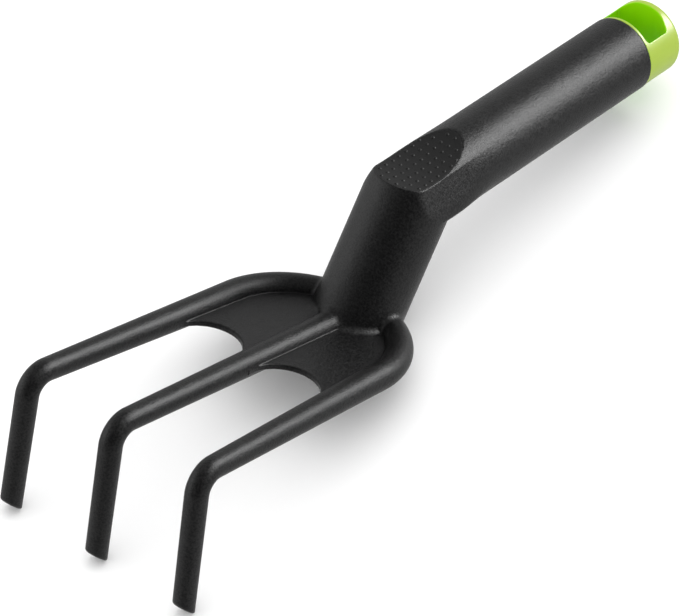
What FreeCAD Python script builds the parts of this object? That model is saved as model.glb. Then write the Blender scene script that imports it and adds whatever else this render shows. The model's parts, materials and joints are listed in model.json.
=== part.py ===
import FreeCAD, Part
import math
import os

import Sketcher
from FreeCAD import Placement, Rotation, Vector

# One-piece three-tine hand cultivator with a thumb inlay and a push-in hanging cap, in millimetres.
#
# Fork frame, in which everything is first built: origin where the neck's axis meets the rods' plane,
# +X forward along the middle rod, +Y to the tool's left, +Z up out of the rods' plane.
# Row frame, in which the parts are written: the tool resting on a bench on its tine tips and its heel,
# +X forward, +Z up, origin on the bench under the middle of the tool's bounding box.

SIZES = [
    # name, value, what it is
    ("grip_diameter", 32.0, "outside of the round grip"),
    ("grip_length", 132.0, "bend of neck and grip to the grip's open end"),
    ("grip_rise", 9.9, "degrees from the rods' plane up to the grip's axis"),
    ("grip_root_length", 32.0, "stretch behind the bend that swells a little towards the neck"),
    ("grip_root_diameter", 32.3, "that stretch at the bend"),
    ("bore_diameter", 27.0, "bore that takes the cap's spigot"),
    ("bore_depth", 94.0, "bore, from the grip's open end"),
    ("groove_depth", 0.5, "snap groove in the bore"),
    ("groove_width", 3.0, "snap groove, along the bore"),
    ("groove_inset", 14.0, "grip's open end to the middle of the snap groove"),
    ("passage_diameter", 18.0, "hollow under the thumb scoop, from the bore to the neck"),
    ("passage_drop", 3.5, "that hollow's axis below the grip's axis"),
    ("neck_core_diameter", 26.0, "hollow inside the neck"),
    ("neck_core_floor", 14.0, "rods' plane to the lower end of that hollow's straight part"),
    ("neck_core_top", 38.0, "rods' plane to the upper end of that hollow's straight part"),
    ("neck_diameter", 35.4, "outside of the round neck"),
    ("neck_length", 48.7, "rods' plane to the bend of neck and grip"),
    ("neck_rise", 66.0, "degrees from the rods' plane up to the neck's axis"),
    ("foot_drop", 6.0, "neck's flat underside below the rods' plane"),
    ("heel_fillet", 1.5, "edge round of the neck's underside"),
    ("shoulder_sink", 2.7, "neck's round top edge at the bend, its centre below the grip's axis"),
    ("scoop_radius", 68.0, "thumb scoop, a trough curved along the grip"),
    ("scoop_depth", 5.35, "scoop, below the top of the grip"),
    ("scoop_offset", 1.0, "deepest point of the scoop behind the bend"),
    ("pad_thickness", 2.0, "thumb inlay"),
    ("pad_inset", 0.4, "rim of grip and neck left round the thumb inlay"),
    ("rod_root_diameter", 11.1, "rods and shoulder at the neck"),
    ("rod_bend_diameter", 9.1, "rods at the tine bends"),
    ("tine_tip_diameter", 8.6, "tines at their cut ends"),
    ("rod_reach", 141.2, "neck's axis to the corner of rod and tine, along X"),
    ("rod_spread", 41.8, "outer rods' offset from the middle one at that corner"),
    ("rod_fan", 2.4, "degrees by which each outer rod opens outward"),
    ("middle_drop", 0.6, "middle rod below the outer ones"),
    ("bend_radius", 8.5, "centre line of the tine bends"),
    ("tine_length", 57.7, "corner of rod and tine to the cut end, on the centre line"),
    ("tine_lean", 1.2, "degrees by which the tines lean back from square"),
    ("tine_splay", 1.7, "degrees by which the outer tines open outward"),
    ("tip_cut", 32.0, "degrees by which the cut at a tine's end rises to the front"),
    ("tip_edge", 0.8, "edge round of a tine's cut end"),
    ("shoulder_centre", 34.0, "middle of the round shoulder, ahead of the neck's axis"),
    ("web_thickness", 2.4, "web between the rods"),
    ("web_drop", 0.7, "web's middle below the rods' plane"),
    ("notch_centre", 68.2, "middle of the round notches in the web's front edge"),
    ("cap_diameter", 31.4, "cap outside the grip"),
    ("cap_length", 20.3, "cap outside the grip, along its axis"),
    ("cap_round", 2.4, "edge round of the cap's end"),
    ("flange_thickness", 1.6, "solid flange between grip and hanging slot"),
    ("eye_width", 24.0, "hanging slot, across"),
    ("eye_length", 14.8, "hanging slot, along the middle of the cap"),
    ("eye_side_length", 12.2, "hanging slot, along its two sides"),
    ("eye_crown_width", 12.0, "straight middle of the slot's outer wall"),
    ("eye_inner_round", 1.6, "corner round of the slot beside the flange"),
    ("eye_outer_round", 1.5, "corner round between the slot's sides and its outer wall"),
    ("eye_crown_round", 12.0, "corner round at the ends of that straight middle"),
    ("eye_edge", 0.5, "edge round of the slot's mouths"),
    ("spigot_diameter", 26.6, "spigot in the grip's bore"),
    ("spigot_length", 20.0, "spigot, from the flange"),
    ("spigot_wall", 2.0, "wall of the hollow spigot"),
    ("bead_height", 0.4, "snap bead on the spigot"),
    ("bead_foot", 2.8, "snap bead where it leaves the spigot, along it"),
    ("bead_crest", 1.0, "flat crest of the snap bead, along the spigot"),
]

doc = FreeCAD.newDocument("HandCultivator")
sheet = doc.addObject("Spreadsheet::Sheet", "Sizes")
for row, (name, value, meaning) in enumerate(SIZES, start=1):
    sheet.set(f"A{row}", meaning)
    sheet.set(f"B{row}", str(value))
    sheet.setAlias(f"B{row}", name)
doc.recompute()


def size(name):
    """Read one driving dimension back from the sheet."""
    return float(getattr(sheet, name))


# --- small helpers ------------------------------------------------------------------------------

def primitive(kind, name, base, rotation, **formulas):
    """Add a Part primitive whose sizes follow the sheet, placed in the fork frame."""
    item = doc.addObject(kind, name)
    for prop, formula in formulas.items():
        item.setExpression(prop, formula)
    item.Placement = Placement(base, rotation)
    return item


def fused(name, pieces):
    item = doc.addObject("Part::MultiFuse", name)
    item.Shapes = pieces
    return item


def kept_inside(name, first, second):
    item = doc.addObject("Part::MultiCommon", name)
    item.Shapes = [first, second]
    return item


def cut_away(name, base, tool):
    item = doc.addObject("Part::Cut", name)
    item.Base = base
    item.Tool = tool
    return item


def rounded(name, base, radius, chosen):
    """Round the edges of base for which chosen(edge) is true."""
    doc.recompute()
    edges = [number for number, edge in enumerate(base.Shape.Edges, start=1) if chosen(edge)]
    if not edges:
        raise RuntimeError(f"{name}: no edge to round")
    item = doc.addObject("Part::Fillet", name)
    item.Base = base
    item.Edges = [(number, radius, radius) for number in edges]
    return item


def axes(x_axis, y_axis):
    """Rotation that turns +X and +Y into two given perpendicular directions."""
    return Rotation(x_axis, y_axis, x_axis.cross(y_axis), "XYZ")


def along(direction):
    """Rotation that turns a primitive's own +Z into a direction, with its +Y kept level."""
    level = direction.cross(Vector(1, 0, 0)) if abs(direction.y) > 0.9 else Vector(0, 1, 0)
    side = (level - direction * level.dot(direction)).normalize()
    return Rotation(side.cross(direction), side, direction, "XYZ")


def back_and_up(degrees):
    """Direction in the middle plane that rises backward from the rods' plane."""
    angle = math.radians(degrees)
    return Vector(-math.cos(angle), 0, math.sin(angle))


# --- directions and places in the fork frame ----------------------------------------------------

LEVEL = Vector(0, 1, 0)
DOWN = Vector(0, 0, -1)
SIDES = {"right": -1, "middle": 0, "left": 1}
TOUCH = 0.01  # millimetres within which two places count as one

neck_axis = back_and_up(size("neck_rise"))
grip_axis = back_and_up(size("grip_rise"))
grip_up = grip_axis.cross(LEVEL) * -1
bend_point = neck_axis * size("neck_length")
grip_end = bend_point + grip_axis * size("grip_length")
shoulder_radius = (
    size("rod_spread") * math.cos(math.radians(size("rod_fan")))
    - (size("rod_reach") - size("shoulder_centre")) * math.sin(math.radians(size("rod_fan")))
)


def rod_direction(side):
    angle = math.radians(side * size("rod_fan"))
    return Vector(math.cos(angle), math.sin(angle), 0)


def tine_direction(side):
    lean = math.radians(size("tine_lean"))
    splay = math.radians(side * size("tine_splay"))
    return Vector(-math.sin(lean), math.sin(splay), -math.cos(lean)).normalize()


def rod_corner(side):
    """Where the centre lines of a rod and its tine would meet."""
    drop = 0 if side else size("middle_drop")
    return Vector(size("rod_reach"), side * size("rod_spread"), -drop)


def tine_length(side):
    """Length of a tine on its centre line; the middle one is shorter, so that all tips are level."""
    return size("tine_length") - (0 if side else size("middle_drop"))


# --- neck and grip, one bent round column -------------------------------------------------------

COLUMN_OVERRUN = 20.0
TRIM_BOX = 120.0


def half_space(name, point, outward):
    """A large box that fills the side of a plane to which outward points."""
    rotation = along(outward)
    base = point - rotation.multVec(Vector(TRIM_BOX / 2, TRIM_BOX / 2, 0))
    item = primitive("Part::Box", name, base, rotation)
    item.Length = item.Width = item.Height = TRIM_BOX
    return item


def bent_column(name, inset):
    """Neck, grip root and grip, with their surface set in by inset, as overlapping solids.

    Above the grip's axis the neck ends in a rounded top as wide as itself that runs along the grip.
    The root swells a little towards the neck, so the plain round seat of the grip ends short of it.
    """
    neck = primitive(
        "Part::Cylinder", f"{name}_neck_blank", neck_axis * -COLUMN_OVERRUN, along(neck_axis),
        Radius=f"Sizes.neck_diameter / 2 - {inset}",
        Height=f"Sizes.neck_length + {2 * COLUMN_OVERRUN}",
    )
    seat_start = bend_point + grip_axis * size("grip_root_length")
    root = primitive(
        "Part::Cone", f"{name}_grip_root", bend_point, along(grip_axis),
        Radius1=f"Sizes.grip_root_diameter / 2 - {inset}",
        Radius2=f"Sizes.grip_diameter / 2 - {inset}",
        Height="Sizes.grip_root_length",
    )
    seat = primitive(
        "Part::Cylinder", f"{name}_grip_seat", seat_start, along(grip_axis),
        Radius=f"Sizes.grip_diameter / 2 - {inset}",
        Height="Sizes.grip_length - Sizes.grip_root_length",
    )
    top_centre = bend_point - grip_up * size("shoulder_sink")
    top = primitive(
        "Part::Cylinder", f"{name}_neck_top", top_centre - grip_axis * (TRIM_BOX / 2), along(grip_axis),
        Radius=f"Sizes.neck_diameter / 2 - {inset}",
    )
    top.Height = TRIM_BOX
    below = half_space(f"{name}_below_bend", top_centre, grip_up * -1)
    envelope = fused(f"{name}_envelope", [top, below])
    return kept_inside(f"{name}_neck", neck, envelope), root, seat


def trimmed_foot(neck):
    """Cut the neck flat below the rods' plane and round that edge: the tool's heel."""
    sole = Vector(0, 0, -size("foot_drop"))
    foot = cut_away("neck_foot", neck, half_space("below_foot", sole, DOWN))
    return rounded(
        "heel", foot, size("heel_fillet"),
        lambda edge: abs(edge.BoundBox.ZMax - sole.z) < TOUCH,
    )


# --- rods, shoulder and tines -------------------------------------------------------------------

def rod(label, side):
    """Tapered rod from the shoulder (or the neck's axis) to its tine bend, with the bend's arc."""
    direction = rod_direction(side)
    down = tine_direction(side)
    turn = direction.getAngle(down)
    setback = size("bend_radius") * math.tan(turn / 2)
    end = rod_corner(side) - direction * setback
    shoulder = Vector(size("shoulder_centre"), 0, 0) - direction.cross(Vector(0, 0, side * shoulder_radius))
    start = shoulder if side else Vector(0, 0, rod_corner(0).z)
    straight = primitive(
        "Part::Cone", f"{label}_rod", start, along(direction),
        Radius1="Sizes.rod_root_diameter / 2",
        Radius2="Sizes.rod_bend_diameter / 2",
    )
    straight.Height = (end - start).Length
    inward = (down - direction * direction.dot(down)).normalize()
    bend = primitive(
        "Part::Torus", f"{label}_bend", end + inward * size("bend_radius"), axes(inward * -1, direction),
        Radius1="Sizes.bend_radius",
        Radius2="Sizes.rod_bend_diameter / 2",
    )
    bend.Angle3 = math.degrees(turn)
    return [straight, bend]


def tine(label, side):
    """Tapered tine below its bend, cut slantwise: the cut rises to the front."""
    down = tine_direction(side)
    turn = rod_direction(side).getAngle(down)
    setback = size("bend_radius") * math.tan(turn / 2)
    start = rod_corner(side) + down * setback
    spare = size("tine_tip_diameter")
    blank = primitive(
        "Part::Cone", f"{label}_tine_blank", start, along(down),
        Radius1="Sizes.rod_bend_diameter / 2",
        Radius2="Sizes.tine_tip_diameter / 2",
    )
    blank.Height = tine_length(side) - setback + spare
    tip = rod_corner(side) + down * tine_length(side)
    slope = math.radians(size("tip_cut"))
    cut = cut_away(
        f"{label}_tine_cut", blank,
        half_space(f"{label}_tip_plane", tip, Vector(math.sin(slope), 0, -math.cos(slope))),
    )
    return rounded(
        f"{label}_tine", cut, size("tip_edge"),
        lambda edge: (edge.CenterOfMass - tip).Length < spare / 2 and edge.BoundBox.ZMax < tip.z + spare,
    )


def shoulder():
    """Round bar behind the web that joins the outer rods and runs through the neck's foot."""
    fan = size("rod_fan")
    item = primitive(
        "Part::Torus", "shoulder", Vector(size("shoulder_centre"), 0, 0),
        Rotation(Vector(0, 0, 1), 90 + fan),
        Radius2="Sizes.rod_root_diameter / 2",
    )
    item.Radius1 = shoulder_radius
    item.Angle3 = 180 - 2 * fan
    return item


def web():
    """Flat web inside the shoulder, with a round notch between each pair of rods."""
    thickness = size("web_thickness")
    under = -size("web_drop") - thickness / 2
    centre = size("shoulder_centre")
    front = size("notch_centre")
    disc = primitive(
        "Part::Cylinder", "web_disc", Vector(centre, 0, under), Rotation(),
        Height="Sizes.web_thickness",
    )
    disc.Radius = shoulder_radius
    slab = primitive(
        "Part::Box", "web_slab", Vector(centre, -shoulder_radius, under), Rotation(),
        Length="Sizes.notch_centre - Sizes.shoulder_centre",
        Height="Sizes.web_thickness",
    )
    slab.Width = 2 * shoulder_radius
    taper = (size("rod_root_diameter") - size("rod_bend_diameter")) / 2 / size("rod_reach")
    rod_radius = size("rod_root_diameter") / 2 - taper * front
    outer = size("rod_spread") - math.tan(math.radians(size("rod_fan"))) * (size("rod_reach") - front)
    notches = []
    for side in (-1, 1):
        base = Vector(front, side * outer / 2, under - thickness)
        notch = primitive(
            "Part::Cylinder", f"notch_{side + 1}", base, Rotation(),
            Height="Sizes.web_thickness * 3",
        )
        notch.Radius = outer / 2 - rod_radius
        notches.append(notch)
    return cut_away("web", fused("web_blank", [disc, slab]), fused("notches", notches))


# --- thumb scoop and inlay ----------------------------------------------------------------------

def scoop(name, extra):
    """Cylinder across the grip whose underside is the thumb scoop, sunk by extra millimetres."""
    centre = (
        bend_point
        + grip_axis * size("scoop_offset")
        + grip_up * (size("grip_diameter") / 2 - size("scoop_depth") + size("scoop_radius"))
    )
    width = 2 * size("neck_diameter")
    item = primitive(
        "Part::Cylinder", name, centre - LEVEL * (width / 2), along(LEVEL),
        Radius=f"Sizes.scoop_radius + {extra}",
    )
    item.Height = width
    return item


def thumb_pad():
    """Soft inlay: the layer just under the scoop's surface, inside a rim of grip and neck."""
    column = fused("pad_column", bent_column("pad", "Sizes.pad_inset"))
    layer = kept_inside("pad_layer", column, scoop("pad_floor", "Sizes.pad_thickness"))
    return cut_away("thumb_pad", layer, scoop("pad_face", "0"))


# --- hollow of grip and neck --------------------------------------------------------------------

def ball(name, centre, diameter):
    return primitive("Part::Sphere", name, centre, Rotation(), Radius=f"{diameter} / 2")


def round_hollow(name, start, end, diameter):
    """Straight round hollow between two points, with a hemisphere beyond its end."""
    direction = (end - start).normalize()
    straight = primitive(
        "Part::Cylinder", f"{name}_straight", start, along(direction),
        Radius=f"{diameter} / 2",
    )
    straight.Height = (end - start).Length
    return [straight, ball(f"{name}_dome", end, diameter)]


def hollow():
    """Bore for the cap with its snap groove, the passage under the scoop, and the neck's core."""
    bore_end = grip_end - grip_axis * size("bore_depth")
    sunk = grip_up * -size("passage_drop")
    groove_start = grip_end - grip_axis * (size("groove_inset") + size("groove_width") / 2)
    groove = primitive(
        "Part::Cylinder", "snap_groove", groove_start, along(grip_axis),
        Radius="Sizes.bore_diameter / 2 + Sizes.groove_depth",
        Height="Sizes.groove_width",
    )
    core_floor = neck_axis * size("neck_core_floor")
    core_top = neck_axis * size("neck_core_top")
    pieces = [groove, ball("core_foot", core_floor, "Sizes.neck_core_diameter")]
    pieces += round_hollow("bore", grip_end, bore_end, "Sizes.bore_diameter")
    pieces += round_hollow("passage", bore_end + sunk, bend_point + sunk, "Sizes.passage_diameter")
    pieces += round_hollow("neck_core", core_floor, core_top, "Sizes.neck_core_diameter")
    return fused("hollow", pieces)


# --- the moulding -------------------------------------------------------------------------------

def cultivator_body(pad):
    neck, root, seat = bent_column("column", "0")
    pieces = [trimmed_foot(neck), root, seat, shoulder(), web()]
    for label, side in SIDES.items():
        pieces += rod(label, side)
        pieces.append(tine(label, side))
    solid = fused("fork_and_column", pieces)
    solid.Refine = True
    scooped = cut_away("scooped", solid, scoop("scoop", "0"))
    pocketed = cut_away("pocketed", scooped, pad)
    return cut_away("cultivator_body", pocketed, hollow())


# --- hanging cap --------------------------------------------------------------------------------

def origin_plane(body, role):
    return next(item for item in body.Origin.OriginFeatures if item.Role == role)


def outline_sketch(body, name, role, corners):
    """Closed outline of straight lines whose corners are pairs of formulas.

    The lines start as an even ring round the origin; the formulas then pull each corner to its place.
    """
    sketch = body.newObject("Sketcher::SketchObject", name)
    sketch.AttachmentSupport = (origin_plane(body, role), "")
    sketch.MapMode = "FlatFace"
    turn = Rotation(Vector(0, 0, 1), 360 / len(corners))
    points = [Vector(1, 0, 0)]
    while len(points) < len(corners):
        points.append(turn.multVec(points[-1]))
    for index, point in enumerate(points):
        sketch.addGeometry(Part.LineSegment(point, points[(index + 1) % len(points)]))
    for index, point in enumerate(points):
        previous = (index - 1) % len(points)
        sketch.addConstraint(Sketcher.Constraint("Coincident", previous, 2, index, 1))
        for axis, offset, formula in zip("XY", (point.x, point.y), corners[index]):
            number = sketch.addConstraint(
                Sketcher.Constraint(f"Distance{axis}", -1, 1, index, 1, offset)
            )
            sketch.renameConstraint(number, f"corner_{index}_{axis}")
            sketch.setExpression(f"Constraints.corner_{index}_{axis}", formula)
    return sketch


def body_fillet(body, name, base, radius, chosen):
    """Round the chosen edges of a PartDesign feature."""
    doc.recompute()
    edges = [f"Edge{number}" for number, edge in enumerate(base.Shape.Edges, start=1) if chosen(edge)]
    if not edges:
        raise RuntimeError(f"{name}: no edge to round")
    fillet = body.newObject("PartDesign::Fillet", name)
    fillet.Base = (base, edges)
    fillet.setExpression("Radius", radius)
    doc.recompute()
    return fillet


def hanging_cap():
    """Cap in its own frame: +X out of the grip, +Z to the grip's top, origin at the grip's end."""
    body = doc.addObject("PartDesign::Body", "hanging_cap")
    spigot = "Sizes.spigot_diameter / 2"
    crest = f"{spigot} + Sizes.bead_height"
    inside = f"{spigot} - Sizes.spigot_wall"
    corners = [
        ("-Sizes.spigot_length", inside),
        ("-Sizes.spigot_length", spigot),
        ("-Sizes.groove_inset - Sizes.bead_foot / 2", spigot),
        ("-Sizes.groove_inset - Sizes.bead_crest / 2", crest),
        ("-Sizes.groove_inset + Sizes.bead_crest / 2", crest),
        ("-Sizes.groove_inset + Sizes.bead_foot / 2", spigot),
        ("0", spigot),
        ("0", "Sizes.cap_diameter / 2"),
        ("Sizes.cap_length", "Sizes.cap_diameter / 2"),
        ("Sizes.cap_length", "0"),
        ("-Sizes.spigot_wall", "0"),
        ("-Sizes.spigot_wall", inside),
    ]
    profile = outline_sketch(body, "cap_profile", "XZ_Plane", corners)
    turned = body.newObject("PartDesign::Revolution", "cap_turned")
    turned.Profile = profile
    turned.ReferenceAxis = (profile, ["H_Axis"])
    turned.Angle = 360
    doc.recompute()
    end = size("cap_length")
    radius = size("cap_diameter") / 2
    domed = body_fillet(
        body, "cap_end_round", turned, "Sizes.cap_round",
        lambda edge: edge.BoundBox.XMin > end - TOUCH and edge.BoundBox.YLength > radius,
    )
    sides_end = "Sizes.flange_thickness + Sizes.eye_side_length"
    crown = "Sizes.flange_thickness + Sizes.eye_length"
    slot = outline_sketch(body, "eye_outline", "XY_Plane", [
        ("Sizes.flange_thickness", "-Sizes.eye_width / 2"),
        (sides_end, "-Sizes.eye_width / 2"),
        (crown, "-Sizes.eye_crown_width / 2"),
        (crown, "Sizes.eye_crown_width / 2"),
        (sides_end, "Sizes.eye_width / 2"),
        ("Sizes.flange_thickness", "Sizes.eye_width / 2"),
    ])
    eye = body.newObject("PartDesign::Pocket", "eye_slot")
    eye.Profile = slot
    eye.Type = "ThroughAll"
    eye.Midplane = True
    before = domed.Shape.Volume
    doc.recompute()
    if eye.Shape.Volume > before - TOUCH:
        raise RuntimeError("the hanging slot cut nothing")
    near = size("flange_thickness")
    corner = near + size("eye_side_length")
    far = near + size("eye_length")
    side = size("eye_width") / 2

    def upright_at(x):
        """Picks the slot's upright corner edges at one x."""
        def chosen(edge):
            box = edge.BoundBox
            return max(box.XLength, box.YLength, abs(box.XMin - x)) < TOUCH
        return chosen

    def on_a_mouth(edge):
        """Picks the edges of the slot's two open ends."""
        box = edge.BoundBox
        along_slot = box.XMin > near - TOUCH and box.XMax < far + TOUCH
        across_slot = max(box.YMax, -box.YMin) < side + TOUCH
        through_wall = box.ZMin < 0 < box.ZMax
        return along_slot and across_slot and not through_wall

    inner = body_fillet(body, "eye_inner_corners", eye, "Sizes.eye_inner_round", upright_at(near))
    outer = body_fillet(body, "eye_outer_corners", inner, "Sizes.eye_outer_round", upright_at(corner))
    crowned = body_fillet(body, "eye_crown_corners", outer, "Sizes.eye_crown_round", upright_at(far))
    body_fillet(body, "eye_mouths", crowned, "Sizes.eye_edge", on_a_mouth)
    return body


# --- seat the tool on the bench and write the parts ---------------------------------------------

def lowest(shape, pitch):
    """Height of a shape's lowest point after the fork frame is pitched about +Y."""
    turned = shape.copy()
    turned.rotate(Vector(), LEVEL, pitch)
    return turned.optimalBoundingBox(False).ZMin


def bench_placement(heel, tip, shapes):
    """Placement that stands tips and heel on z = 0 and centres the bounding box on x = 0."""
    steep, flat = -45.0, 0.0
    for _ in range(40):
        pitch = (steep + flat) / 2
        if lowest(tip, pitch) < lowest(heel, pitch):
            flat = pitch
        else:
            steep = pitch
    pitched = Placement(Vector(), Rotation(LEVEL, pitch))
    boxes = []
    for shape in shapes:
        turned = shape.copy()
        turned.Placement = pitched.multiply(turned.Placement)
        boxes.append(turned.optimalBoundingBox(False))
    middle = (min(box.XMin for box in boxes) + max(box.XMax for box in boxes)) / 2
    return Placement(Vector(-middle, 0, -lowest(tip, pitch)), Rotation(LEVEL, pitch))


pad = thumb_pad()
body = cultivator_body(pad)
cap = hanging_cap()
doc.recompute()
cap.Placement = Placement(grip_end, axes(grip_axis, LEVEL * -1))
parts = [body, pad, cap]
bench = bench_placement(doc.heel.Shape, doc.left_tine.Shape, [item.Shape for item in parts])
for item in parts:
    item.Placement = bench.multiply(item.Placement)
doc.recompute()

for item in doc.Objects:
    if "Invalid" in item.State or "Error" in item.State:
        raise RuntimeError(f"{item.Name} failed: {item.State}")
for item in parts:
    if item.Shape.isNull() or not item.Shape.isValid():
        raise RuntimeError(f"{item.Label} has no valid shape")

os.makedirs("parts", exist_ok=True)
for item in parts:
    item.Shape.exportStep(f"parts/{item.Label}.step")
pitch = math.degrees(bench.Rotation.Angle) * bench.Rotation.Axis.y
print(f"on the bench: pitched {pitch:.6f} degrees about +Y, fork origin at {bench.Base}")
for item in parts:
    box = item.Shape.optimalBoundingBox(False)
    print(f"{item.Label}: {item.Shape.Volume / 1000:.2f} cm3, {box}")
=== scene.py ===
import itertools
import json
import math

import bpy
import numpy as np
from mathutils import Matrix, Vector


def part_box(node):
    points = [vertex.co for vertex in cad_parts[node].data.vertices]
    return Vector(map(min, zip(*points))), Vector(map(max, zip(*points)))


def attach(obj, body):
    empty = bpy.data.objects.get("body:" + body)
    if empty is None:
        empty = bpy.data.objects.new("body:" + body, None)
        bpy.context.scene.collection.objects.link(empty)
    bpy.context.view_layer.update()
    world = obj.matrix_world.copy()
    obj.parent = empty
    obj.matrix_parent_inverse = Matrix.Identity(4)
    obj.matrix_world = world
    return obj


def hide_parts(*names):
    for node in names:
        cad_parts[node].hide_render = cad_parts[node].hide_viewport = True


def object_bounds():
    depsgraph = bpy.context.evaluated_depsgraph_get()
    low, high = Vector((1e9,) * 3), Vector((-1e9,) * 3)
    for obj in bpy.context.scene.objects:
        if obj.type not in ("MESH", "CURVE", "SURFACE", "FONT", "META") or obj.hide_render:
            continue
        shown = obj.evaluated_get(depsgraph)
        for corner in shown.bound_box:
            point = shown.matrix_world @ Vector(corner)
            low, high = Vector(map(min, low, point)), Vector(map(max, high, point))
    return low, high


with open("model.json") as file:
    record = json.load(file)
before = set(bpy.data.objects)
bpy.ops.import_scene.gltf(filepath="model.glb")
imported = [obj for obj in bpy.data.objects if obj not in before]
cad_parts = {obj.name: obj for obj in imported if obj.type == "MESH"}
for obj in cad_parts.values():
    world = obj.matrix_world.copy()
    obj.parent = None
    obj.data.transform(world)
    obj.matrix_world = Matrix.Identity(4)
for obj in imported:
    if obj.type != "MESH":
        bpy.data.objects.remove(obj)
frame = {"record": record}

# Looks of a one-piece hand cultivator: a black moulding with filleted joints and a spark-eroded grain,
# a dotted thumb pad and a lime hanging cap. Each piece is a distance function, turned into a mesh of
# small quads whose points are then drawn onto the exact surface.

CAD_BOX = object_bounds()
MM = 0.001
MOUNTS = {mount["name"]: mount for mount in frame["record"]["mounts"]}

# --- sizes, in millimetres and degrees --------------------------------------------------------------

# grip
GRIP_RISE = 9.9              # of its axis above the rods' plane
GRIP_RADIUS = MOUNTS["grip"]["dims"]["r_mm"]
GRIP_LENGTH = 132.0          # from the bend
GRIP_END_ROUND = 0.5
BORE_RADIUS = 13.5
BORE_DEPTH = 94.0
BORE_EDGE = 0.3

# straight flanks of the grip at the bend, with heights above the grip's axis
FLANK_TILT = 23.0            # from upright
FLANK_WIDTH = 12.3           # from the middle plane to their top edge
FLANK_ROUND = 1.5            # where they run into the neck's sides
FLANK_FADES = 15.0           # height at which they have faded out
FLANK_BACK = 9.0             # from the bend to where they start to fade
FLANK_END = 38.0             # and to where they have faded out
CREASE_LOW = -9.5            # height up to which neck and round grip meet in a crease
CREASE_HIGH = -4.0           # height from which the flanks are flush with the neck

# neck and foot
NECK_RISE = 66.0             # of its axis above the rods' plane
NECK_RADIUS = 17.7
NECK_LENGTH = 48.7           # rods' plane to the bend, on the neck's axis
NECK_TOP_EDGE = 6.0
FOOT_DROP = 6.0              # of the sole below the rods' plane
SOLE_EDGE = 0.3
HEEL_ROUND = 1.5

# thumb scoop, and the pad in it
SCOOP_RADIUS = 68.0
SCOOP_DEPTH = 5.35
SCOOP_OFFSET = 1.0           # from the bend to its middle, along the grip
RIM_RADIUS = 0.3             # round rim of the moulding round the pad
PAD_INSET = 0.4
PAD_THICKNESS = 2.0
PAD_EDGE = 0.15
PIP_PITCH = 3.85
PIP_RADIUS = 0.85
PIP_HEIGHT = 0.34
PIP_SHIFT = 0.05             # most that a pip is off its place, as a share of the pitch
PIP_UNEVENNESS = 4           # the share by which its height varies, over that shift
PIP_REPEAT = 16              # pips after which the pattern of shifts repeats
PIP_SEED = 5

# rods and tines
ROD_ROOT_RADIUS = 5.55
ROD_BEND_RADIUS = 4.55
TINE_TIP_RADIUS = 4.3
ROD_REACH = 141.2            # neck's axis to the corner of rod and tine
ROD_SPREAD = 41.8            # middle plane to an outer corner
ROD_FAN = 2.4                # of the outer rods, away from the middle plane
MIDDLE_DROP = 0.6            # of the middle rod below the rods' plane
BEND_RADIUS = 8.5
TINE_LENGTH = 57.7           # from the corner to the middle of the cut tip
TINE_LEAN = 1.2              # of the tips, backward
TINE_SPLAY = 1.7             # of the outer tips, outward
TIP_CUT = 32.0               # of the tips' faces, from level
TIP_ROUND = 1.1
ARMS = (-1, 0, 1)            # right, middle and left

# shoulder and web
SHOULDER_CENTRE = 34.0       # ahead of the neck's axis
WEB_THICKNESS = 2.4
WEB_DROP = 0.7               # of its middle below the rods' plane
WEB_EDGE = 0.6
NOTCH_CENTRE = 68.2          # ahead of the neck's axis

# fillets
BEND_FILLET = 1.2            # neck to grip
FOOT_FILLET = 2.4            # rods and shoulder to neck
WEB_FILLET = 0.3             # web to rods and shoulder

# hanging cap, and the slot through it
CAP_RADIUS = 15.7
CAP_LENGTH = 20.3
CAP_ROUND = 2.4
FLANGE_THICKNESS = 1.6
FLANGE_EDGE = 0.3
EYE_WIDTH = 24.0
EYE_LENGTH = 14.8            # along the grip's axis, in its middle
EYE_SIDE_LENGTH = 12.2       # and at its sides
EYE_CROWN_WIDTH = 12.0       # level part of its outer wall
EYE_INNER_ROUND = 1.6
EYE_OUTER_ROUND = 1.5
EYE_CROWN_ROUND = 12.0
EYE_EDGE = 0.55
SPIGOT_RADIUS = 13.3
SPIGOT_LENGTH = 20.0
SPIGOT_WALL = 2.0
SPIGOT_OVERLAP = 0.6         # into the flange

# size of the quads in each piece's mesh
BODY_STEP = 0.5
RIM_STEP = 0.15
PAD_STEP = 0.2
CAP_STEP = 0.35


# --- the tool's own directions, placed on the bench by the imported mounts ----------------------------

def unit(vector):
    """Vector of length 1 in the same direction."""
    vector = np.array(vector, float)
    return vector / np.linalg.norm(vector)


def back_and_up(degrees):
    """Direction in the middle plane that rises backward from the rods' plane."""
    angle = math.radians(degrees)
    return np.array([-math.cos(angle), 0.0, math.sin(angle)])


def turn_to_bench():
    """Matrix that turns the fork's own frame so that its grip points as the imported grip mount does."""
    seat = unit(MOUNTS["grip"]["axis"])
    pitch = math.radians(GRIP_RISE) + math.atan2(-seat[2], -seat[0])
    return np.array([
        [math.cos(pitch), 0.0, -math.sin(pitch)],
        [0.0, 1.0, 0.0],
        [math.sin(pitch), 0.0, math.cos(pitch)],
    ])


LEVEL = np.array([0.0, 1.0, 0.0])
NECK_AXIS = back_and_up(NECK_RISE)
GRIP_AXIS = back_and_up(GRIP_RISE)
GRIP_UP = np.cross(LEVEL, GRIP_AXIS)
BEND_POINT = NECK_AXIS * NECK_LENGTH
GRIP_END = BEND_POINT + GRIP_AXIS * GRIP_LENGTH
EYE_CENTRE = GRIP_END + GRIP_AXIS * (FLANGE_THICKNESS + EYE_LENGTH / 2)

OUTER_FAN = math.radians(ROD_FAN)
SHOULDER_RADIUS = ROD_SPREAD * math.cos(OUTER_FAN) - (ROD_REACH - SHOULDER_CENTRE) * math.sin(OUTER_FAN)
SHOULDER_POINT = np.array([SHOULDER_CENTRE, 0.0, 0.0])

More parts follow.
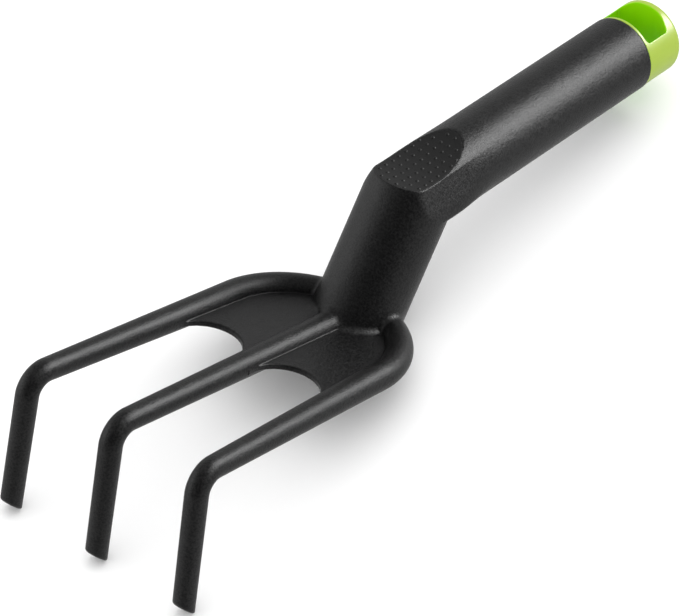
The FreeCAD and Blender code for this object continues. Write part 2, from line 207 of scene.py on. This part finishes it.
TO_BENCH = turn_to_bench()
FORK_ORIGIN = np.array(MOUNTS["hanging_eye"]["pos_m"]) / MM - TO_BENCH @ EYE_CENTRE

PIP_SPREAD = np.random.default_rng(PIP_SEED).uniform(-PIP_SHIFT, PIP_SHIFT, (PIP_REPEAT, PIP_REPEAT, 3))


# --- distance functions: negative inside, in millimetres, of points in rows -------------------------

LARGEST_COSINE = 0.99        # of two normals; nearer to parallel, a fillet would divide by nearly nothing
LEAST_OFF = 1e-9             # distance from an axis, so that it can be divided by


def joined(first, second, fillet, cosine=0.0):
    """Union with a round fillet where two surfaces meet; cosine is that of their normals."""
    cosine = np.minimum(cosine, LARGEST_COSINE)
    a = fillet - first
    b = fillet - second
    beside = (a > cosine * b) & (b > cosine * a)
    reach = np.sqrt(np.maximum(a**2 + b**2 - 2 * cosine * a * b, 0) / (1 - cosine**2))
    return np.where(beside, fillet - reach, np.minimum(first, second))


def common(first, second, edge, cosine=0.0):
    """Intersection with a round edge."""
    return -joined(-first, -second, edge, cosine)


def cut(body, tool, edge):
    """Body less tool, with a round edge."""
    return common(body, -tool, edge)


def bar(points, start, end, start_radius, end_radius):
    """Tapered round bar with ball ends."""
    axis = end - start
    offset = points - start
    share = np.clip(offset @ axis / (axis @ axis), 0, 1)
    miss = np.linalg.norm(offset - share[:, None] * axis, axis=1)
    return miss - (start_radius + (end_radius - start_radius) * share)


def arc_bar(points, centre, middle, across, radius, half_angle, bar_radius):
    """Round bar bent in an arc of half_angle to both sides of the direction middle."""
    offset = points - centre
    angle = np.arctan2(offset @ across, offset @ middle)
    angle = np.clip(angle, -half_angle, half_angle)[:, None]
    nearest = radius * (np.cos(angle) * middle + np.sin(angle) * across)
    return np.linalg.norm(offset - nearest, axis=1) - bar_radius


def smooth(share):
    """Share between 0 and 1 with a level start and end."""
    return share * share * (3 - 2 * share)


def eased(values, start, end):
    """Rises smoothly from 0 at start to 1 at end."""
    return smooth(np.clip((values - start) / (end - start), 0, 1))


def smaller(values, limit, blend):
    """The smaller of values and limit, with a round change where they differ by less than blend."""
    share = np.clip(0.5 + (limit - values) / (2 * blend), 0, 1)
    return limit + (values - limit) * share - blend * share * (1 - share)


def along_and_off(points, start, axis):
    """How far points lie along an axis, how far off it, and the direction away from it."""
    offset = points - start
    along = offset @ axis
    away = offset - along[:, None] * axis
    off = np.maximum(np.linalg.norm(away, axis=1), LEAST_OFF)
    return along, off, away / off[:, None]


def dotted(first, second):
    """Dot product of each row of first with the same row of second."""
    return np.einsum("ij,ij->i", first, second)


def fork_points(bench_points):
    """Points of the bench frame in the fork's own frame."""
    return (bench_points - FORK_ORIGIN) @ TO_BENCH


def flanks(height):
    """Half width of the straight flanks at the bend, and how far they lie from the grip's axis."""
    top = GRIP_RADIUS - SCOOP_DEPTH
    below = np.minimum(height, top)
    sloping = FLANK_WIDTH + (top - below) * math.tan(math.radians(FLANK_TILT))
    width = smaller(sloping, NECK_RADIUS, FLANK_ROUND)
    radius = GRIP_RADIUS + (np.hypot(width, below) - GRIP_RADIUS) * eased(height, FLANK_FADES, top)
    return width, radius


def column(points):
    """Neck and grip; at the bend the grip takes on the neck's flanks, so that the two run together."""
    height = (points - BEND_POINT) @ GRIP_UP
    width, radius = flanks(height)
    along, grip_off, grip_normal = along_and_off(points, BEND_POINT, GRIP_AXIS)
    share = eased(height, CREASE_LOW, CREASE_HIGH) * eased(along, FLANK_END, FLANK_BACK)
    ends = np.maximum(along - GRIP_LENGTH, -along)
    grip = common(grip_off - GRIP_RADIUS - (radius - GRIP_RADIUS) * share, ends, GRIP_END_ROUND)
    _, neck_off, neck_normal = along_and_off(points, np.zeros(3), NECK_AXIS)
    over = height > 0
    top = np.where(over, grip_off - radius, np.abs(points[:, 1]) - width)
    top_normal = np.where(over[:, None], grip_normal, np.sign(points[:, 1, None]) * LEVEL)
    neck = common(neck_off - NECK_RADIUS, top, NECK_TOP_EDGE, dotted(neck_normal, top_normal))
    fillet = BEND_FILLET * eased(height, 0, CREASE_HIGH)
    return joined(neck, grip, fillet, dotted(neck_normal, grip_normal))


def arm_lines(arm):
    """Corner, rod direction and tine direction of one arm."""
    fan = math.radians(arm * ROD_FAN)
    lean = math.radians(TINE_LEAN)
    splay = math.radians(arm * TINE_SPLAY)
    forward = np.array([math.cos(fan), math.sin(fan), 0.0])
    down = unit([-math.sin(lean), math.sin(splay), -math.cos(lean)])
    corner = np.array([ROD_REACH, arm * ROD_SPREAD, 0.0 if arm else -MIDDLE_DROP])
    return corner, forward, down


def bend_setback(forward, down):
    """Distance from an arm's corner to where its bend begins."""
    return BEND_RADIUS * math.tan(math.acos(forward @ down) / 2)


def rods(points):
    """The three rods and the round shoulder behind the web."""
    found = arc_bar(
        points, SHOULDER_POINT, back_and_up(0), LEVEL,
        SHOULDER_RADIUS, math.pi / 2 - OUTER_FAN, ROD_ROOT_RADIUS,
    )
    for arm in ARMS:
        corner, forward, down = arm_lines(arm)
        if arm:
            outward = np.array([-forward[1], forward[0], 0.0]) * arm
            start = SHOULDER_POINT + outward * SHOULDER_RADIUS
        else:
            start = np.array([0, 0, -MIDDLE_DROP])
        end = corner - forward * bend_setback(forward, down)
        found = np.minimum(found, bar(points, start, end, ROD_ROOT_RADIUS, ROD_BEND_RADIUS))
    return found


def tines(points):
    """The bends and the tines below them, cut slantwise."""
    slope = math.radians(TIP_CUT)
    cut_normal = np.array([math.sin(slope), 0, -math.cos(slope)])
    found = np.full(len(points), np.inf)
    for arm in ARMS:
        corner, forward, down = arm_lines(arm)
        setback = bend_setback(forward, down)
        inward = unit(down - forward * (down @ forward))
        turn = math.acos(forward @ down)
        bend = arc_bar(
            points, corner - forward * setback + inward * BEND_RADIUS, unit(forward - down),
            unit(forward + down), BEND_RADIUS, turn / 2, ROD_BEND_RADIUS,
        )
        tip = corner + down * (TINE_LENGTH - (0 if arm else MIDDLE_DROP))
        beyond = tip + down * 2 * TINE_TIP_RADIUS
        tine = bar(points, corner + down * setback, beyond, ROD_BEND_RADIUS, TINE_TIP_RADIUS)
        tine = common(tine, (points - tip) @ cut_normal, TIP_ROUND)
        found = np.minimum(found, np.minimum(bend, tine))
    return found


def web(points):
    """Flat web inside the shoulder, with a round notch between each pair of rods."""
    forward = points[:, 0] - SHOULDER_CENTRE
    disc = np.hypot(forward, points[:, 1]) - SHOULDER_RADIUS
    front = NOTCH_CENTRE - SHOULDER_CENTRE
    slab = np.maximum(np.abs(points[:, 1]) - SHOULDER_RADIUS, np.maximum(-forward, forward - front))
    outline = np.minimum(disc, slab)
    taper = (ROD_ROOT_RADIUS - ROD_BEND_RADIUS) / ROD_REACH
    rod_radius = ROD_ROOT_RADIUS - taper * NOTCH_CENTRE
    outer = ROD_SPREAD - math.tan(OUTER_FAN) * (ROD_REACH - NOTCH_CENTRE)
    for side in (-1, 1):
        notch = np.hypot(forward - front, points[:, 1] - side * outer / 2) - (outer / 2 - rod_radius)
        outline = np.maximum(outline, -notch)
    return common(outline, np.abs(points[:, 2] + WEB_DROP) - WEB_THICKNESS / 2, WEB_EDGE)


def pip_height(points):
    """Height of the round pips in the scoop, in square rows; each pip is slightly off and uneven."""
    along = ((points - BEND_POINT) @ GRIP_AXIS - SCOOP_OFFSET) / PIP_PITCH
    across = points[:, 1] / PIP_PITCH + 0.5
    row = np.round(along).astype(int)
    place = np.round(across).astype(int)
    own = PIP_SPREAD[row % PIP_REPEAT, place % PIP_REPEAT]
    miss = np.hypot(along - row + own[:, 0], across - place + own[:, 1]) * PIP_PITCH
    share = np.clip(1 - (miss / PIP_RADIUS)**2, 0, 1)
    return PIP_HEIGHT * (1 + PIP_UNEVENNESS * own[:, 2]) * smooth(share)


def above_scoop(points):
    """Distance above the scoop's floor, positive in the open air."""
    rise = GRIP_RADIUS - SCOOP_DEPTH + SCOOP_RADIUS
    centre = BEND_POINT + GRIP_AXIS * SCOOP_OFFSET + GRIP_UP * rise
    offset = points - centre
    return SCOOP_RADIUS - np.hypot(offset @ GRIP_AXIS, offset @ GRIP_UP)


def body_distance(bench_points):
    """The moulding: column, fork and tines, less the scoop and the bore, and flat below its foot."""
    points = fork_points(bench_points)
    sole = -FOOT_DROP - points[:, 2]
    foot = common(column(points), sole, HEEL_ROUND)
    fork = joined(rods(points), web(points), WEB_FILLET)
    body = common(joined(foot, fork, FOOT_FILLET), sole, SOLE_EDGE)
    body = np.minimum(body, tines(points))
    body = np.maximum(body, above_scoop(points) + RIM_RADIUS)
    from_end, off, _ = along_and_off(points, GRIP_END, -GRIP_AXIS)
    bore = np.maximum(off - BORE_RADIUS, from_end - BORE_DEPTH)
    return cut(body, bore, BORE_EDGE)


def rim_distance(bench_points):
    """Thin round rim where the scoop runs out of neck and grip."""
    points = fork_points(bench_points)
    return np.hypot(column(points) + RIM_RADIUS, above_scoop(points) + RIM_RADIUS) - RIM_RADIUS


def pad_distance(bench_points):
    """Curved pad that fills the rim, with pips on it."""
    points = fork_points(bench_points)
    height = above_scoop(points)
    pad = common(column(points) + PAD_INSET, height - pip_height(points), PAD_EDGE)
    return np.maximum(pad, -height - PAD_THICKNESS)


def eye_distance(from_flange, across):
    """Outline of the hanging slot, whose outer wall is crowned."""
    side = np.abs(across) - EYE_WIDTH / 2
    crown = unit([(EYE_WIDTH - EYE_CROWN_WIDTH) / 2, EYE_LENGTH - EYE_SIDE_LENGTH])
    slant = (from_flange - EYE_SIDE_LENGTH) * crown[0] + side * crown[1]
    outer = common(slant, from_flange - EYE_LENGTH, EYE_CROWN_ROUND, crown[0])
    walls = common(outer, side, EYE_OUTER_ROUND, crown[1])
    return common(walls, -from_flange, EYE_INNER_ROUND)


def cap_distance(bench_points):
    """Round cap with a slot through it, on a plain hollow spigot."""
    points = fork_points(bench_points)
    along, off, _ = along_and_off(points, GRIP_END, GRIP_AXIS)
    outside = common(off - CAP_RADIUS, along - CAP_LENGTH, CAP_ROUND)
    outside = common(outside, -along, FLANGE_EDGE)
    head = cut(outside, eye_distance(along - FLANGE_THICKNESS, points[:, 1]), EYE_EDGE)
    tube = np.maximum(off - SPIGOT_RADIUS, SPIGOT_RADIUS - SPIGOT_WALL - off)
    tube = np.maximum(tube, np.maximum(along - SPIGOT_OVERLAP, -along - SPIGOT_LENGTH))
    return np.minimum(head, tube)


# --- from distance function to mesh -----------------------------------------------------------------

MARGIN = 2                   # steps that the grid reaches past a node's box
CELLS = 4                    # cells along a block's side
CHUNK = 200_000              # points worked out at once
SLACK = 1.6                  # makes up for blended distances that are a little too long
SLOPE_REACH = 0.01           # length of the steps that a slope is taken over
FLATTEST = 0.25              # least squared slope that a move is worked out with
PASSES = 3                   # times that points are moved towards the surface
CORNERS = np.array(list(itertools.product((0, 1), repeat=3)))
EDGES = [
    (a, b) for a, b in itertools.combinations(range(len(CORNERS)), 2)
    if np.abs(CORNERS[a] - CORNERS[b]).sum() == 1
]


def worked_out(distance, points):
    """Distance of many points, a chunk at a time."""
    return np.concatenate([distance(points[at:at + CHUNK]) for at in range(0, len(points), CHUNK)])


def lattice(counts):
    """Whole-number places of a box of points, as many along each axis as its count."""
    return np.stack(np.meshgrid(*[np.arange(count) for count in counts], indexing="ij"), -1)


def blocks_near(distance, low, high, step):
    """Whole-number places of the blocks that the surface may pass through."""
    block = step * CELLS
    places = lattice(np.ceil((high - low) / block).astype(int)).reshape(-1, 3)
    reach = SLACK * block * math.sqrt(3) / 2 + step
    return places[np.abs(worked_out(distance, low + (places + 0.5) * block)) < reach]


def cell_points(values, origins, step):
    """Where the surface passes through each cell that it crosses, and those cells' places."""
    corner_values = np.stack([
        values[:, x:x + CELLS, y:y + CELLS, z:z + CELLS] for x, y, z in CORNERS
    ], -1)
    inside = (corner_values < 0).sum(-1)
    crossed = np.argwhere((inside > 0) & (inside < len(CORNERS)))
    corner_values = corner_values[tuple(crossed.T)]
    total = np.zeros((len(crossed), 3))
    count = np.zeros(len(crossed))
    for a, b in EDGES:
        first, second = corner_values[:, a], corner_values[:, b]
        passes = (first < 0) != (second < 0)
        share = np.where(passes, first / np.where(passes, first - second, 1), 0)
        total += passes[:, None] * (CORNERS[a] + share[:, None] * (CORNERS[b] - CORNERS[a]))
        count += passes
    places = origins[crossed[:, 0]] + crossed[:, 1:]
    return places, (places + total / count[:, None]) * step


def crossing_quads(values, origins, number_of):
    """One quad round each grid edge that the surface crosses, facing out."""
    quads = []
    start = values[:, :CELLS, :CELLS, :CELLS] < 0
    for axis in range(3):
        ahead = [slice(0, CELLS)] * 3
        ahead[axis] = slice(1, CELLS + 1)
        end = values[(slice(None), *ahead)] < 0
        first, second = np.eye(3, dtype=int)[[(axis + 1) % 3, (axis + 2) % 3]]
        for leaving in (True, False):
            found = np.argwhere((start == leaving) & (end != leaving))
            place = origins[found[:, 0]] + found[:, 1:]
            ring = [place - first - second, place - second, place, place - first]
            if not leaving:
                ring.reverse()
            quads.append(np.stack([number_of(cell) for cell in ring], -1))
    return np.concatenate(quads)


def gradient(distance, points, here):
    """Slope of a distance function, by small forward steps from points where its value is here."""
    steps = [worked_out(distance, points + SLOPE_REACH * axis) - here for axis in np.eye(3)]
    return np.stack(steps, -1) / SLOPE_REACH


def drawn_onto(distance, points, step):
    """Points moved onto the exact surface, and the surface's normals there."""
    for _ in range(PASSES):
        here = worked_out(distance, points)
        slope = gradient(distance, points, here)
        steepness = np.maximum(dotted(slope, slope), FLATTEST)
        move = slope * (here / steepness)[:, None]
        longest = np.maximum(np.linalg.norm(move, axis=1) / (step / 2), 1)
        points = points - move / longest[:, None]
    return points, slope / np.linalg.norm(slope, axis=1)[:, None]


def quad_mesh(name, points, normals, quads):
    """Smooth mesh of quads, whose points are in millimetres."""
    mesh = bpy.data.meshes.new(name)
    mesh.vertices.add(len(points))
    mesh.vertices.foreach_set("co", (points * MM).astype(np.float32).ravel())
    mesh.loops.add(quads.size)
    mesh.loops.foreach_set("vertex_index", quads.astype(np.int32).ravel())
    mesh.polygons.add(len(quads))
    mesh.polygons.foreach_set("loop_start", np.arange(0, quads.size, quads.shape[1], dtype=np.int32))
    mesh.update(calc_edges=True)
    mesh.shade_smooth()
    mesh.normals_split_custom_set_from_vertices(normals)
    return mesh


def surface_mesh(name, distance, low, high, step):
    """A closed mesh of small quads on the surface where distance is zero, inside a box."""
    low = low - MARGIN * step
    high = high + MARGIN * step
    origins = blocks_near(distance, low, high, step) * CELLS
    grid = low + (origins[:, None, None, None] + lattice([CELLS + 1] * 3)) * step
    values = worked_out(distance, grid.reshape(-1, 3)).reshape(grid.shape[:-1])
    places, points = cell_points(values, origins, step)
    span = places.max(axis=0) + 2

    def key(cell):
        return (cell[:, 0] * span[1] + cell[:, 1]) * span[2] + cell[:, 2]

    order = np.argsort(key(places))
    keys = key(places)[order]
    points, normals = drawn_onto(distance, points[order] + low, step)

    def number_of(cell):
        found = np.minimum(np.searchsorted(keys, key(cell)), len(keys) - 1)
        if (keys[found] != key(cell)).any():
            raise ValueError(f"the surface of {name} leaves its grid")
        return found

    return quad_mesh(name, points, normals, crossing_quads(values, origins, number_of))


def piece_for(node, part, distance, step, material):
    """Visible piece that stands for a CAD node, or for a part of it, meshed inside that node's box."""
    name = f"{node}_{part}"
    low, high = (np.array(corner, float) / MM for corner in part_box(node))
    mesh = surface_mesh(name, distance, low, high, step)
    mesh.materials.append(material)
    piece = bpy.data.objects.new(name, mesh)
    bpy.context.scene.collection.objects.link(piece)
    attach(piece, "root")
    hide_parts(node)


# --- materials --------------------------------------------------------------------------------------

NYLON_DARK, NYLON_PALE = (0.0025, 0.0025, 0.0027, 1), (0.0045, 0.0045, 0.0047, 1)
RUBBER_DARK, RUBBER_PALE = (0.003, 0.003, 0.003, 1), (0.005, 0.005, 0.005, 1)
LIME_DARK, LIME_PALE = (0.31, 0.45, 0.01, 1), (0.35, 0.48, 0.015, 1)
# painted bounce light: the deeper green put on the cap where its slot encloses it
PAINTED_BOUNCE_GREEN = (0.24, 0.60, 0.0, 1)
SLOT_REACH = 20.0            # how far off a wall may be and still enclose a point, in millimetres
SLOT_RAYS = 16
OPEN, ENCLOSED = 1.0, 0.88   # shares of rays that meet no wall, outside the slot and well inside it

NOISE_CORE = (0.4, 0.6)      # values that a noise has most of the time
NOISE_WIDE = (0.3, 0.7)      # values that it seldom leaves


def socket_of(sockets, identifier):
    """One of a node's sockets by its identifier, as their names may repeat."""
    return next(socket for socket in sockets if socket.identifier == identifier)


class Nodes:
    """Short hand for building a node tree. Wherever a value goes in, a socket may go in instead."""

    def __init__(self, owner):
        owner.use_nodes = True
        self.tree = owner.node_tree
        self.places = self.add("ShaderNodeTexCoord").outputs

    def add(self, kind, inputs=(), **settings):
        """New node, with its inputs and its own settings."""
        node = self.tree.nodes.new(kind)
        for key, value in settings.items():
            setattr(node, key, value)
        self.feed(node, dict(inputs))
        return node

    def feed(self, node, inputs):
        """Set or link a node's inputs."""
        for identifier, value in inputs.items():
            target = socket_of(node.inputs, identifier)
            if isinstance(value, bpy.types.NodeSocket):
                self.tree.links.new(value, target)
            else:
                target.default_value = value

    def noise(self, size_mm, detail=2.0, roughness=0.5):
        """Noise between 0 and 1 whose features are size_mm across."""
        inputs = {"Scale": 1 / (size_mm * MM), "Detail": detail, "Roughness": roughness}
        return self.add("ShaderNodeTexNoise", {"Vector": self.places["Object"], **inputs}).outputs["Fac"]

    def spread(self, source, span, to_span):
        """Stretch the part of source inside one span to another."""
        low, high = span
        to_low, to_high = to_span
        inputs = {"From Min": low, "From Max": high, "To Min": to_low, "To Max": to_high}
        return self.add("ShaderNodeMapRange", {"Value": source, **inputs}).outputs["Result"]

    def combined(self, operation, first, second):
        """Two numbers put together by a math node's operation."""
        inputs = {"Value": first, "Value_001": second}
        return self.add("ShaderNodeMath", inputs, operation=operation).outputs["Value"]

    def mixed(self, share, first, second):
        """The number first where share is 0, and second where it is 1."""
        inputs = {"Factor_Float": share, "A_Float": first, "B_Float": second}
        node = self.add("ShaderNodeMix", inputs, data_type="FLOAT")
        return socket_of(node.outputs, "Result_Float")

    def mixed_colour(self, share, first, second):
        """The colour first where share is 0, and second where it is 1."""
        inputs = {"Factor_Float": share, "A_Color": first, "B_Color": second}
        node = self.add("ShaderNodeMix", inputs, data_type="RGBA")
        return socket_of(node.outputs, "Result_Color")

    def bump(self, height, depth_mm, strength, under=None):
        """Normals bent by a height, on top of the relief under it."""
        inputs = {"Height": height, "Distance": depth_mm * MM, "Strength": strength}
        if under is not None:
            inputs["Normal"] = under
        return self.add("ShaderNodeBump", inputs).outputs["Normal"]


class Material(Nodes):
    """Node tree of a new material round its principled shader."""

    def __init__(self, name):
        self.material = bpy.data.materials.new(name)
        super().__init__(self.material)

    def shaded(self, inputs):
        """The material, once its shader has these inputs."""
        self.feed(self.tree.nodes["Principled BSDF"], inputs)
        return self.material


def grained_nylon():
    """Black glass-filled nylon: a fine spark-eroded grain that breaks its highlights into specks."""
    nodes = Material("grained_nylon")
    patches = nodes.noise(size_mm=7.0, detail=4)
    grain = nodes.noise(size_mm=0.8, detail=3, roughness=0.75)
    relief = nodes.bump(grain, depth_mm=0.2, strength=0.8)
    return nodes.shaded({
        "Base Color": nodes.mixed_colour(patches, NYLON_DARK, NYLON_PALE),
        "Roughness": nodes.spread(grain, NOISE_CORE, (0.30, 0.50)),
        "Specular IOR Level": nodes.spread(grain, NOISE_CORE, (0.28, 0.52)),
        "Normal": nodes.bump(patches, depth_mm=0.5, strength=0.5, under=relief),
    })


def pad_rubber():
    """Darker, duller pad with a soft grain between its pips."""
    nodes = Material("pad_rubber")
    patches = nodes.noise(size_mm=5.0)
    grain = nodes.noise(size_mm=0.35, detail=3, roughness=0.6)
    return nodes.shaded({
        "Base Color": nodes.mixed_colour(patches, RUBBER_DARK, RUBBER_PALE),
        "Roughness": nodes.spread(grain, NOISE_WIDE, (0.46, 0.62)),
        "Specular IOR Level": 0.36,
        "Normal": nodes.bump(grain, depth_mm=0.04, strength=0.5),
    })


def lime_plastic():
    """Lime cap: satin, slightly translucent, with faint flow marks; in its slot, painted bounce light turns
    it a deeper green and its reflections are painted duller.
    """
    nodes = Material("lime_plastic")
    flow = nodes.noise(size_mm=7.0)
    grain = nodes.noise(size_mm=0.6)
    reach = {"Distance": SLOT_REACH * MM}
    free = nodes.add("ShaderNodeAmbientOcclusion", reach, samples=SLOT_RAYS, only_local=True)
    # share of painted light in the slot: a deeper green, and painted duller reflections with less coat
    painted_slot_share = nodes.spread(free.outputs["AO"], (OPEN, ENCLOSED), (0, 1))
    outside = nodes.mixed_colour(flow, LIME_DARK, LIME_PALE)
    return nodes.shaded({
        "Base Color": nodes.mixed_colour(painted_slot_share, outside, PAINTED_BOUNCE_GREEN),
        "Roughness": nodes.spread(grain, NOISE_WIDE, (0.30, 0.40)),
        "Specular IOR Level": nodes.spread(painted_slot_share, (0, 1), (0.8, 0.2)),
        "Coat Weight": nodes.spread(painted_slot_share, (0, 1), (0.35, 0)),
        "Coat Roughness": 0.35,
        "Subsurface Weight": 0.15,
        "Subsurface Radius": (1.0, 1.6, 0.3),
        "Subsurface Scale": 1.2 * MM,
        "Normal": nodes.bump(grain, depth_mm=0.01, strength=0.3),
    })


def floor_paint():
    """Matt and nearly white."""
    return Material("pale_floor").shaded({
        "Base Color": (0.90, 0.90, 0.90, 1),
        "Roughness": 0.9,
        "Specular IOR Level": 0.1,
    })


# --- stage, light and camera ------------------------------------------------------------------------

AIM = Vector((25.88, 0.0, 19.73)) * MM      # point of the tool's middle plane in the middle of the view
VIEW_AZIMUTH = 134.41
VIEW_ELEVATION = 44.40
VIEW_ROLL = -5.63
VIEW_DISTANCE = 1.7823       # metres
LENS = 246.64                # millimetres, as is the sensor
SENSOR = 36.0
NEAREST, FARTHEST = 0.1, 50.0           # metres from the camera that it sees between

FLOOR_HALF = 6.0             # half the side of the square floor, in metres

DARK_PATCH = (130.0, 24.0)   # its azimuth and elevation
DARK_PATCH_SIZE = 27.0       # degrees from its middle to where it starts to fade
DARK_PATCH_FADES = 58.0      # and to where it has faded out
TOP_STARTS, TOP_FULL = 28.0, 58.0       # elevations between which the room darkens to its top
ROOM_DARK, ROOM_PALE, ROOM_TOP = 0.05, 0.62, 0.27
ROOM_LIGHT = 1.35


def direction(azimuth, elevation):
    """Unit vector towards an azimuth (0 is -Y, 90 is +X) and an elevation."""
    turn, rise = math.radians(azimuth), math.radians(elevation)
    return Vector((math.sin(turn) * math.cos(rise), -math.cos(turn) * math.cos(rise), math.sin(rise)))


def pale_floor():
    """Square floor at the tool's lowest point, which doesn't show in reflections."""
    mesh = bpy.data.meshes.new("floor")
    corners = [(x * FLOOR_HALF, y * FLOOR_HALF, 0) for x, y in ((-1, -1), (1, -1), (1, 1), (-1, 1))]
    mesh.from_pydata(corners, [], [(0, 1, 2, 3)])
    mesh.materials.append(floor_paint())
    floor = bpy.data.objects.new("floor", mesh)
    floor.location.z = CAD_BOX[0].z
    floor.visible_glossy = False
    bpy.context.scene.collection.objects.link(floor)


def soft_box(name, azimuth, elevation, distance, width, height, power, mirrored):
    """Rectangular soft light that faces the tool; it either lights matt surfaces or shows in reflections."""
    light = bpy.data.lights.new(name, "AREA")
    light.shape = "RECTANGLE"
    light.size = width
    light.size_y = height
    light.energy = power
    lamp = bpy.data.objects.new(name, light)
    towards = direction(azimuth, elevation)
    lamp.location = towards * distance
    lamp.rotation_euler = towards.to_track_quat("Z", "Y").to_euler()
    lamp.visible_diffuse = not mirrored
    lamp.visible_glossy = mirrored
    bpy.context.scene.collection.objects.link(lamp)


def room():
    """Pale room with a dark patch behind the camera and a darker top; it lights more than it mirrors."""
    world = bpy.data.worlds.new("room")
    bpy.context.scene.world = world
    nodes = Nodes(world)
    towards = nodes.places["Generated"]
    patch_inputs = {"Vector": towards, "Vector_001": direction(*DARK_PATCH)}
    patch = nodes.add("ShaderNodeVectorMath", patch_inputs, operation="DOT_PRODUCT").outputs["Value"]
    patch_span = [math.cos(math.radians(degrees)) for degrees in (DARK_PATCH_FADES, DARK_PATCH_SIZE)]
    height = nodes.add("ShaderNodeSeparateXYZ", {"Vector": towards}).outputs["Z"]
    height_span = [math.sin(math.radians(degrees)) for degrees in (TOP_STARTS, TOP_FULL)]
    mirrored = nodes.combined(
        "MINIMUM",
        nodes.spread(patch, patch_span, (ROOM_PALE, ROOM_DARK)),
        nodes.spread(height, height_span, (ROOM_PALE, ROOM_TOP)),
    )
    ray = nodes.add("ShaderNodeLightPath").outputs
    unmirrored = nodes.combined("MAXIMUM", ray["Is Camera Ray"], ray["Is Diffuse Ray"])
    nodes.feed(nodes.tree.nodes["Background"], {
        "Color": (1, 1, 1, 1),
        "Strength": nodes.mixed(unmirrored, mirrored, ROOM_LIGHT),
    })


def studio():
    """Soft light from above, and two boxes that only show as highlights."""
    soft_box("top", 250.0, 75.0, distance=2.0, width=2.0, height=2.0, power=8.0, mirrored=False)
    soft_box("key", 237.0, 30.5, distance=1.6, width=0.9, height=0.8, power=32.0, mirrored=True)
    soft_box("fill", 33.0, 18.0, distance=1.6, width=1.5, height=0.9, power=4.5, mirrored=True)


def camera():
    """Camera at the photo's viewpoint."""
    data = bpy.data.cameras.new("camera")
    data.sensor_fit = "HORIZONTAL"
    data.sensor_width = SENSOR
    data.lens = LENS
    data.clip_start = NEAREST
    data.clip_end = FARTHEST
    item = bpy.data.objects.new("camera", data)
    back = direction(VIEW_AZIMUTH, VIEW_ELEVATION)
    item.rotation_mode = "QUATERNION"
    level = back.to_track_quat("Z", "Y")
    item.rotation_quaternion = level @ Matrix.Rotation(math.radians(VIEW_ROLL), 3, "Z").to_quaternion()
    item.location = AIM + back * VIEW_DISTANCE
    bpy.context.scene.collection.objects.link(item)
    bpy.context.scene.camera = item
    bpy.context.scene.view_settings.view_transform = "Standard"


nylon = grained_nylon()
piece_for("cultivator_body", "moulded", body_distance, BODY_STEP, nylon)
piece_for("cultivator_body", "rim", rim_distance, RIM_STEP, nylon)
piece_for("thumb_pad", "moulded", pad_distance, PAD_STEP, pad_rubber())
piece_for("hanging_cap", "moulded", cap_distance, CAP_STEP, lime_plastic())
pale_floor()
room()
studio()
camera()
